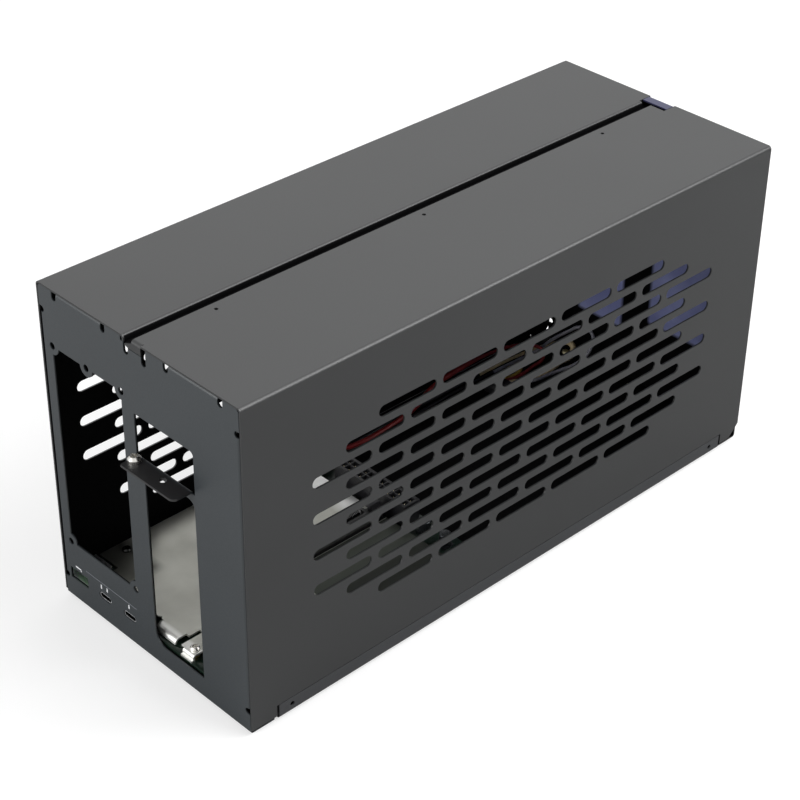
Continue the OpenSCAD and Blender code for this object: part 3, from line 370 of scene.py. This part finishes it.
def blackenedSteel():
    # Black zinc over steel: nearly black, with a dull metal sheen; the rolled tails on the rear part
    # of the floor are coloured pale tan
    material, tree, shader, place = startMaterial("blackZinc", zinc["black"], 0.42, Metallic=0.8)
    tail = boxMask(tree, place, zinc["from"], zinc["to"])
    tree.links.new(blendColors(tree, tail, hexColor(zinc["black"]), hexColor(zinc["paleTan"])),
                   shader.inputs["Base Color"])
    tree.links.new(spread(tree, grain(tree, place, size=0.5, detail=3), low=0.36, high=0.52),
                   shader.inputs["Roughness"])
    return material


coverCoat = powderCoat("satinPowderCoat", coat["black"])[0]
finishes = {
    "io_panel": faceCoat(),
    "back_panel": bluedPanel(),
    "base_tray": powderCoat("mattPowderCoat", "#3f4042", roughness=0.5, gloss=0.22)[0],
    "left_cover": coverCoat,
    "right_cover": coverCoat,
    "centre_rail": powderCoat("railPowderCoat", "#1c1820", roughness=0.5)[0],
    "floor_rivets": blackenedSteel(),
    "feet": mouldedRubber(),
    "bracket_screw": nickelPlate("nickelScrew", screws["nickel"]),
    "dock_board": solderMask(),
    "dock_shield": rolledTinplate(),
    "card_socket": mouldedPlastic("socketPolymer", "#131314", 0.36),
    "socket_contacts": goldFlash(),
    "card_latch": mouldedPlastic("latchNylon", "#232326", 0.5),
    "usb_a_shell": nickelPlate("dullNickelShell", "#9a9c9f", 0.42),
    "usb_c_shells": rimmedShell(),
    "usb_a_tongue": mouldedPlastic("greenPolyester", "#a8eca0", 0.34),
    "usb_c_tongues": mouldedPlastic("blackPolyester", "#141416", 0.4),
    "power_header": mouldedPlastic("headerNylon", "#17171a", 0.42),
    "capacitors": sleevedCan(),
    "power_coils": pressedFerrite(),
    "controller_chip": mouldedPlastic("epoxyPackage", "#141416", 0.55, size=0.3),
    "thermal_pad": siliconePad(),
    "standoffs": turnedBrass(),
}
finishes["header_pins"] = finishes["socket_contacts"]
finishes["dock_screws"] = lacqueredNickel()
finishes["shield_spacers"] = finishes["standoffs"]
finishes["lead_plugs"] = finishes["power_header"]


# Work on edges: widths in millimetres, angles in degrees
edgeWork = {"sheet": 0.16, "small": 0.08, "sharpest": 38, "fold": 32, "flat": 0.5, "weld": 0.002,
            "merge": 0.001, "weight": 100}


def foldShading():
    # Shades folds round and cut edges sharp
    tree = bpy.data.node_groups.new("foldShading", "GeometryNodeTree")
    tree.interface.new_socket("Geometry", in_out="INPUT", socket_type="NodeSocketGeometry")
    limit = tree.interface.new_socket("Sharpest Fold", in_out="INPUT", socket_type="NodeSocketFloat")
    limit.default_value = math.radians(edgeWork["fold"])
    tree.interface.new_socket("Geometry", in_out="OUTPUT", socket_type="NodeSocketGeometry")
    given = addNode(tree, "NodeGroupInput").outputs
    angle = addNode(tree, "GeometryNodeInputMeshEdgeAngle").outputs["Unsigned Angle"]
    sharp = addNode(tree, "FunctionNodeCompare", {0: angle, 1: given["Sharpest Fold"]},
                    data_type="FLOAT", operation="GREATER_THAN").outputs[0]
    shaded = addNode(tree, "GeometryNodeSetMeshNormal", {
        "Mesh": given["Geometry"], "Remove Custom": True, "Edge Sharpness": sharp,
        "Face Sharpness": False}, mode="SHARPNESS")
    addNode(tree, "NodeGroupOutput", {0: shaded.outputs[0]})
    return tree


sheets = ("io_panel", "back_panel", "base_tray", "left_cover", "right_cover", "centre_rail",
          "dock_shield")
smallEdges = ("bracket_screw", "card_latch", "power_header", "capacitors", "power_coils",
              "dock_screws", "usb_a_tongue", "usb_c_tongues", "controller_chip", "dock_board",
              "standoffs", "lead_plugs")
foldTree = foldShading()


def finishEdges(name, width):
    # Welded, cleared of flat seams, then every cut edge gets the coat's small round
    node = nodes[name]
    weld = node.modifiers.new("weld", "WELD")
    weld.merge_threshold = edgeWork["weld"] * mm
    flat = node.modifiers.new("flat", "DECIMATE")
    flat.decimate_type = "DISSOLVE"
    flat.angle_limit = math.radians(edgeWork["flat"])
    edge = node.modifiers.new("edge", "BEVEL")
    edge.width = width * mm
    edge.segments = 2
    edge.limit_method = "ANGLE"
    edge.angle_limit = math.radians(edgeWork["sharpest"])
    edge.use_clamp_overlap = True
    shade = node.modifiers.new("shade", "NODES")
    shade.node_group = foldTree
    if name in sheets:  # wide faces stay flat up to their rounded edges
        weigh = node.modifiers.new("weigh", "WEIGHTED_NORMAL")
        weigh.weight = edgeWork["weight"]
        weigh.keep_sharp = True


for name, finish in finishes.items():
    nodes[name].data.materials.clear()
    nodes[name].data.materials.append(finish)
    if name in sheets:
        finishEdges(name, edgeWork["sheet"])
    elif name in smallEdges:
        finishEdges(name, edgeWork["small"])
    else:
        nodes[name].modifiers.new("shade", "NODES").node_group = foldTree
print("finishes on", len(finishes), "nodes")


def finishPiece(piece, material, node):
    # A plain smooth mesh at the origin that stands for a node and rides on the chassis
    plain = bpy.data.meshes.new_from_object(piece.evaluated_get(bpy.context.evaluated_depsgraph_get()))
    made = addObject(piece.name + "Piece", plain)
    plain.materials.clear()
    plain.materials.append(material)
    work = bmesh.new()
    work.from_mesh(plain)
    bmesh.ops.remove_doubles(work, verts=work.verts, dist=edgeWork["merge"] * mm)
    bmesh.ops.recalc_face_normals(work, faces=work.faces)
    for edge in work.edges:
        edge.smooth = edge.is_manifold and edge.calc_face_angle(0) < math.radians(edgeWork["sharpest"])
    for face in work.faces:
        face.smooth = True
    work.to_mesh(plain)
    work.free()
    bpy.data.objects.remove(piece)
    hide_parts(node)
    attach(made, "chassis")


def turnProfile(name, profile, steps):
    # Lathe: a profile of radius and height in millimetres turned round Z, from pole to pole
    work = bmesh.new()
    verts = [work.verts.new((r * mm, 0, z * mm)) for r, z in profile]
    edges = [work.edges.new(pair) for pair in zip(verts, verts[1:])]
    bmesh.ops.spin(work, geom=verts + edges, axis=(0, 0, 1), cent=(0, 0, 0), steps=steps,
                   angle=2 * math.pi, use_duplicate=False)
    bmesh.ops.remove_doubles(work, verts=work.verts, dist=edgeWork["merge"] * mm)
    bmesh.ops.recalc_face_normals(work, faces=work.faces)
    mesh = bpy.data.meshes.new(name)
    work.to_mesh(mesh)
    work.free()
    return addObject(name, mesh)


def stampTree():
    # Sets one turned piece on every corner of a grid
    tree = bpy.data.node_groups.new("stampGrid", "GeometryNodeTree")
    tree.interface.new_socket("Geometry", in_out="INPUT", socket_type="NodeSocketGeometry")
    for name, kind in (("Piece", "NodeSocketObject"), ("Width", "NodeSocketFloat"),
                       ("Length", "NodeSocketFloat"), ("Columns", "NodeSocketInt"),
                       ("Middle", "NodeSocketVector"), ("Finish", "NodeSocketMaterial")):
        tree.interface.new_socket(name, in_out="INPUT", socket_type=kind)
    tree.interface.new_socket("Geometry", in_out="OUTPUT", socket_type="NodeSocketGeometry")
    given = addNode(tree, "NodeGroupInput").outputs
    grid = addNode(tree, "GeometryNodeMeshGrid", {"Size X": given["Width"], "Size Y": given["Length"],
                                                  "Vertices X": given["Columns"], "Vertices Y": 2})
    moved = addNode(tree, "GeometryNodeTransform", {"Geometry": grid.outputs[0],
                                                    "Translation": given["Middle"]})
    master = addNode(tree, "GeometryNodeObjectInfo", {"Object": given["Piece"]}).outputs["Geometry"]
    stamped = addNode(tree, "GeometryNodeInstanceOnPoints", {"Points": moved.outputs[0],
                                                             "Instance": master})
    whole = addNode(tree, "GeometryNodeRealizeInstances", {"Geometry": stamped.outputs[0]})
    coated = addNode(tree, "GeometryNodeSetMaterial", {"Geometry": whole.outputs[0],
                                                       "Material": given["Finish"]})
    addNode(tree, "NodeGroupOutput", {0: coated.outputs[0]})
    return tree


gridTree = stampTree()


def stampGrid(name, settings, material, node):
    master = turnProfile(name, settings["profile"], settings["steps"])
    holder = addObject(name + "Grid", bpy.data.meshes.new("grid"))
    stamp = holder.modifiers.new("stamp", "NODES")
    stamp.node_group = gridTree
    values = {"Piece": master, "Width": settings["width"] * mm, "Length": settings["length"] * mm,
              "Columns": settings["columns"], "Middle": list(atCase(*settings["middle"])),
              "Finish": material}
    for item in gridTree.interface.items_tree:
        if item.in_out == "INPUT" and item.name in values:
            stamp[item.identifier] = values[item.name]
    bpy.context.view_layer.update()
    finishPiece(holder, material, node)
    bpy.data.objects.remove(master)


# Blind rivets: a domed head with the broken mandrel sunk in it, and a rolled tail above the floor
rivet = {"width": 100, "length": 339, "columns": 3, "middle": (0, 177.5, 0), "steps": 32,
         "profile": [(0, -0.45), (0.7, -0.45), (0.8, -0.82), (1.4, -0.88), (2.1, -0.8), (2.75, -0.5),
                     (3.0, 0), (1.6, 0), (1.6, 2.4), (2.15, 2.45), (2.2, 3.1), (1.9, 3.8), (1.2, 4.0),
                     (0, 4.0)]}
stampGrid("rivet", rivet, finishes["floor_rivets"], "floor_rivets")

# Feet: turned rubber pads with a rolled rim and a shallow dish underneath
foot = {"width": 117.4, "length": 307, "columns": 2, "middle": (0, 177.5, 0), "steps": 48,
        "profile": [(0, 0), (5.6, 0), (5.95, -0.15), (6, -0.4), (5.95, -1.0), (5.6, -1.4), (5.1, -1.5),
                    (4.3, -1.45), (3.6, -1.2), (0, -1.15)]}
stampGrid("foot", foot, finishes["feet"], "feet")

# Pins of the power header: round tips, polished where the plug wipes them
pin = {"width": 46.2, "length": 4.2, "columns": 12, "middle": (-8, 153.5, 15.8), "steps": 16,
       "profile": [(0, 0), (0.55, 0), (0.55, 8.4), (0.45, 8.9), (0.25, 9.15), (0, 9.2)]}
stampGrid("pin", pin, nickelPlate("wipedPins", "#e6dcc2", 0.16), "header_pins")
print("rivets, feet and pins stamped")


def drawnInsulation(name, color, shadeEnd):
    # Soft PVC insulation, extruded over the strands: satin, with the strands' twist just felt; near the
    # left wall it is painted near black up to its shade end: painted shade
    material, tree, shader, place = startMaterial(name, color, 0.42)
    clouds = spread(tree, grain(tree, place, size=6, detail=2), low=0, high=1)
    dark = [c * leads["shade"] for c in hexColor(color)[:3]] + [1]
    tint = blendColors(tree, clouds, dark, hexColor(color))
    tube = leads["tube"]
    # Painted shade: the lead is coloured near black up to its shade end, near the left wall
    shadedLength = boxMask(tree, place, tube["from"], (tube["right"], shadeEnd, tube["top"]), tube["soft"])
    tree.links.new(blendColors(tree, shadedLength, tint, hexColor(tube["color"])), shader.inputs["Base Color"])
    addBump(tree, shader, grain(tree, place, size=0.7, detail=2), depth=0.01)
    return material


# Leads: each follows the route of its solid, from the board's plug to the loose one; shade ends say
# how far back each lead is painted near black by the left wall, a painted shade, and swell gives shares
# of the thickness, point by point
leads = {
    "thick": 2, "shade": 0.75,
    "tube": {"color": "#050506", "from": (-80, 100, -5), "right": -57, "top": 60, "soft": 0.3},
    "shadeEnds": {"red": 120, "yellow": 309, "tan": 292, "grey": 300},
    "swell": {"red": dict.fromkeys(range(1, 8), 1.6),
              "tan": {9: 1.5, 10: 1.8, 11: 1.8, 12: 1.7, 13: 1.4}},
    "red": ("#8e2a2a", [(-59, 162, 15.6), (-59, 165, 15.6), (-62, 176, 8), (-64.4, 188, 2.4),
                        (-65.5, 226, 2.4), (-66.5, 240, 5.2), (-68.6, 254, 9.6), (-69, 278, 12.5),
                        (-69, 299, 13), (-66.5, 318, 12), (-61.5, 330, 9.5), (-57, 334, 7),
                        (-53.4, 331, 4), (-52.8, 322, 2.4), (-51.8, 314, 2.4), (-51.5, 306, 2.4),
                        (-51.5, 299, 3.7), (-51.5, 296, 3.7)]),
    "yellow": ("#c0a04a", [(-54, 162, 15.6), (-54, 165, 15.6), (-56, 176, 8), (-59, 188, 2.4),
                           (-60, 226, 2.4), (-61.5, 262, 2.4), (-61.5, 300, 2.4), (-61.5, 308, 2.4),
                           (-60.5, 313, 2.4), (-57.8, 315.5, 2.4), (-55, 313, 2.4), (-54, 308, 2.4),
                           (-54, 304, 2.6), (-54, 299, 3.7), (-54, 296, 3.7)]),
    "tan": ("#ecd6aa", [(-61.5, 162, 15.6), (-61.5, 165, 15.6), (-65, 176, 8), (-67.4, 188, 2.4),
                        (-68.2, 226, 2.4), (-68.2, 262, 2.4), (-68, 300, 2.4), (-67, 322, 2.6),
                        (-63.5, 336, 3.8), (-57, 344.5, 6), (-47.5, 349, 8), (-43, 344, 4.6),
                        (-43.3, 335, 3.6), (-43.1, 325, 2.4), (-44.5, 314, 2.4), (-47.6, 306, 2.4),
                        (-49, 299, 3.7), (-49, 296, 3.7)]),
    "grey": ("#9a9aa4", [(-56.5, 162, 15.6), (-56.5, 165, 15.6), (-59, 176, 8), (-61.8, 188, 2.4),
                         (-62.8, 226, 2.4), (-64.6, 262, 2.4), (-64.6, 300, 2.4), (-63.6, 318, 2.6),
                         (-60.5, 332, 5), (-57, 344, 10.5), (-52, 351, 15), (-45, 352, 20.5),
                         (-38, 352, 22), (-31.5, 349.5, 19), (-30.5, 344, 12), (-34, 338, 6),
                         (-38.5, 331, 3), (-40.3, 324, 2.4), (-42, 312, 2.4), (-45.2, 305, 2.4),
                         (-46.5, 299, 3.7), (-46.5, 296, 3.7)]),
}


def drawLead(name):
    color, route = leads[name]
    curve = bpy.data.curves.new(name + "Lead", "CURVE")
    curve.dimensions = "3D"
    curve.bevel_depth = leads["thick"] / 2 * mm
    curve.bevel_resolution = 4
    curve.use_fill_caps = True
    curve.resolution_u = 6
    spline = curve.splines.new("BEZIER")
    spline.bezier_points.add(len(route) - 1)
    swell = leads["swell"].get(name, {})
    for i, (knot, point) in enumerate(zip(spline.bezier_points, route)):
        knot.radius = swell.get(i, 1)
        knot.co = atCase(point[0], point[1], point[2] + (knot.radius - 1) * leads["thick"] / 2)
        knot.handle_left_type = knot.handle_right_type = "AUTO"
    lead = addObject(name + "Lead", curve)
    bpy.context.view_layer.update()
    insulation = drawnInsulation(name + "Insulation", color, leads["shadeEnds"][name])
    finishPiece(lead, insulation, "lead_" + name)


for name in ("red", "yellow", "tan", "grey"):
    drawLead(name)
print("leads laid")

# Printed marks on the face, each as its left edge, lower edge, width and height: plain bars over the
# connectors and a thin rule above them
marks = {"proud": 0.04, "corner": 0.3, "ink": "#dcdee0", "faint": "#7d8086",
         "bars": [(-61.6, 21.5, 4.6, 0.8), (-57.6, 20.8, 1.0, 0.8), (-41.2, 19.9, 0.9, 2.6),
                  (-36.5, 20.4, 0.9, 2.4), (-19.2, 20.5, 0.9, 2.4)],
         "rule": [(-53, 23.7, 40.5, 0.28)]}


def printMarks(name, bars, color):
    # Pad printed ink: flat and slightly chalky, a hair proud of the coat
    material, tree, shader, place = startMaterial(name + "Ink", color, 0.6)
    tree.links.new(spread(tree, grain(tree, place, size=0.3, detail=2), low=0.52, high=0.7),
                   shader.inputs["Roughness"])
    work = bmesh.new()
    for x, z, width, height in bars:
        cut = min(width, height) * marks["corner"]
        outline = [(cut, 0), (width - cut, 0), (width, cut), (width, height - cut),
                   (width - cut, height), (cut, height), (0, height - cut), (0, cut)]
        near = [work.verts.new(atCase(x + u, -marks["proud"], z + w)) for u, w in outline]
        far = [work.verts.new(atCase(x + u, 0, z + w)) for u, w in outline]
        work.faces.new(near)
        work.faces.new(far[::-1])
        for i in range(len(outline)):
            j = (i + 1) % len(outline)
            work.faces.new((near[j], near[i], far[i], far[j]))
    bmesh.ops.recalc_face_normals(work, faces=work.faces)
    mesh = bpy.data.meshes.new(name)
    work.to_mesh(mesh)
    work.free()
    mesh.materials.append(material)
    printed = addObject(name, mesh)
    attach(printed, "chassis")


printMarks("portMarks", marks["bars"], marks["ink"])
printMarks("portRule", marks["rule"], marks["faint"])
print("marks printed")


# Camera fitted to the photograph: turned 45.8 degrees round the case and 33.7 above it
camera = {"round": 45.80, "above": 33.73, "roll": 0.766, "right": -117.4, "up": -125.0, "away": 984.6,
          "scale": 1.0023, "lens": 92.2, "sensor": 36}


def placeCamera():
    a, e, r = (math.radians(camera[k]) for k in ("round", "above", "roll"))
    back = Vector((math.sin(a) * math.cos(e), -math.cos(a) * math.cos(e), math.sin(e)))
    across = Vector((0, 0, 1)).cross(back).normalized()
    up = back.cross(across)
    turn = Matrix((across, up, back)).transposed() @ Matrix.Rotation(-r, 3, "Z").transposed()
    offset = Vector((camera["right"], camera["up"], -camera["away"])) * camera["scale"]
    place = caseShift - turn @ offset
    data = bpy.data.cameras.new("camera")
    data.lens = camera["lens"]
    data.sensor_width = camera["sensor"]
    eye = addObject("camera", data)
    eye.matrix_world = Matrix.Translation(place * mm) @ turn.to_4x4()
    bpy.context.scene.camera = eye


placeCamera()


# Studio: the key hangs high at the right rear, the fill stands before the face, a small lamp behind
# the key draws the folds, and a weak one hangs over the left rear; the paper pales from near to far
studio = {"floor": "#bababa", "sweep": 6.0, "lift": 0.56, "near": 0.9, "far": 2.4, "aim": (0, 0, 0.1),
          "roomLight": 0.35, "roomSeen": 1.0,
          "key": {"place": (0.9, 0.6, 1.3), "width": 1.3, "height": 1.3, "power": 24},
          "fill": {"place": (-0.4, -1.6, 0.7), "width": 1.0, "height": 1.0, "power": 20},
          "rim": {"place": (1.0, 1.05, 1.15), "width": 0.9, "height": 0.5, "power": 6},
          "sky": {"place": (-0.75, 0.85, 1.45), "width": 1.5, "height": 1.5, "power": 4}}


def addSoftbox(name, aim, place, width, height, power):
    light = bpy.data.lights.new(name, "AREA")
    light.shape = "RECTANGLE"
    light.size = width
    light.size_y = height
    light.energy = power
    lamp = addObject(name, light)
    lamp.location = place
    lamp.rotation_euler = (Vector(aim) - Vector(place)).to_track_quat("-Z", "Y").to_euler()


def floorMaterial():
    # Seamless paper: the camera's share keeps it pale, more so away from the lamps, and leaves the
    # shadow on it
    material, tree, shader, place = startMaterial("sweepPaper", studio["floor"], 0.9,
                                                  Specular_IOR_Level=0.1)
    path = addNode(tree, "ShaderNodeLightPath").outputs["Is Camera Ray"]
    away = addNode(tree, "ShaderNodeVectorMath", {0: place}, operation="LENGTH").outputs["Value"]
    level = addNode(tree, "ShaderNodeMapRange", {"Value": away, "From Min": studio["near"],
                                                 "From Max": studio["far"], "To Min": studio["lift"],
                                                 "To Max": 1.0}).outputs[0]
    lift = addNode(tree, "ShaderNodeMath", {0: path, 1: level}, operation="MULTIPLY").outputs[0]
    shader.inputs["Emission Color"].default_value = (1, 1, 1, 1)
    tree.links.new(lift, shader.inputs["Emission Strength"])
    return material


def buildStudio():
    # The room lights the case dimly and looks white to the eye and in reflections
    half = studio["sweep"]
    mesh = bpy.data.meshes.new("floor")
    mesh.from_pydata([(-half, -half, 0), (half, -half, 0), (half, half, 0), (-half, half, 0)], [],
                     [(0, 1, 2, 3)])
    floor = addObject("floor", mesh)
    mesh.materials.append(floorMaterial())
    for name in ("key", "fill", "rim", "sky"):
        addSoftbox(name, aim=studio["aim"], **studio[name])
    world = bpy.data.worlds.new("studio")
    bpy.context.scene.world = world
    world.use_nodes = True
    tree = world.node_tree
    back = tree.nodes["Background"]
    path = addNode(tree, "ShaderNodeLightPath").outputs
    seen = addNode(tree, "ShaderNodeMath", {0: path["Is Camera Ray"], 1: path["Is Glossy Ray"]},
                   operation="MAXIMUM").outputs[0]
    seen = addNode(tree, "ShaderNodeMath", {0: seen, 1: path["Is Transmission Ray"]},
                   operation="MAXIMUM").outputs[0]
    level = addNode(tree, "ShaderNodeMapRange", {"Value": seen, "To Min": studio["roomLight"],
                                                 "To Max": studio["roomSeen"]}).outputs[0]
    tree.links.new(level, back.inputs["Strength"])
    back.inputs["Color"].default_value = (1, 1, 1, 1)


buildStudio()
view = bpy.context.scene.view_settings
view.view_transform = "Standard"
print("studio and camera ready")

bpy.context.view_layer.update()
